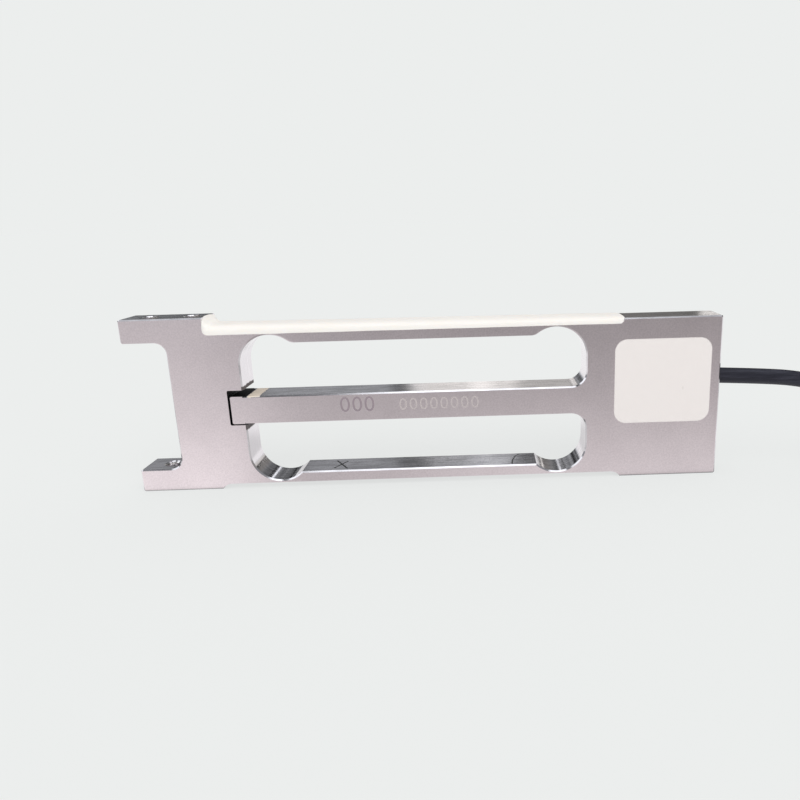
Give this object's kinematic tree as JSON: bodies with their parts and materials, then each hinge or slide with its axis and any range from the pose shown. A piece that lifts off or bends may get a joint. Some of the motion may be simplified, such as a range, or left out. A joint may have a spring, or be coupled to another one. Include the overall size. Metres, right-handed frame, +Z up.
{
  "type": "single point load cell",
  "caption": "Slim aluminium bar cell: two windows with round hinges, a centre stop arm, silicone over the gauges, a potted pocket and a short black cable folded in a hank.",
  "frame": {"origin": "middle of the bar on the surface that it stands on", "axes": "+X from the loaded end to the fixed end and the cable, +Y from the front face to the back face, +Z up"},
  "size_m": [0.2119, 0.0251, 0.0332],
  "materials": {
    "body": "fine satin blasted faces, bright machined windows",
    "silicone": "glossy white silicone",
    "potting": "satin off-white potting compound",
    "film": "amber polyimide film",
    "foil": "etched resistance foil",
    "laminate": "glass-epoxy laminate",
    "wire_enamel": "enamelled copper",
    "chip": "black chip resistor",
    "jacket": "satin black flexible jacket",
    "tie": "black nylon",
    "tinned": "tinned copper strands",
    "red_core": "red insulation",
    "black_core": "black insulation",
    "green_core": "green insulation",
    "white_core": "white insulation"
  },
  "bodies": {
    "root": {"bridge_wire_left_1": "wire_enamel", "bridge_wire_left_2": "wire_enamel", "bridge_wire_left_3": "wire_enamel", "bridge_wire_right_1": "wire_enamel", "bridge_wire_right_2": "wire_enamel", "bridge_wire_right_3": "wire_enamel", "cable": "jacket", "cable_entry": "jacket", "cable_hank": "jacket", "cable_tail": "jacket", "cable_tie": "tie", "compensation_board": "laminate", "core_black": "black_core", "core_green": "green_core", "core_red": "red_core", "core_white": "white_core", "gauge_backing_left": "film", "gauge_backing_right": "film", "gauge_coat": "silicone", "gauge_grid_left_back": "foil", "gauge_grid_left_front": "foil", "gauge_grid_right_back": "foil", "gauge_grid_right_front": "foil", "lead_black": "black_core", "lead_green": "green_core", "lead_red": "red_core", "lead_tip_black": "tinned", "lead_tip_green": "tinned", "lead_tip_red": "tinned", "lead_tip_white": "tinned", "lead_white": "white_core", "pocket_potting": "potting", "spring_body": "body", "terminal_strip_left": "laminate", "terminal_strip_right": "laminate", "trim_resistor_1": "chip", "trim_resistor_2": "chip", "trim_resistor_3": "chip", "trim_resistor_4": "chip"}
  },
  "joints": []
}
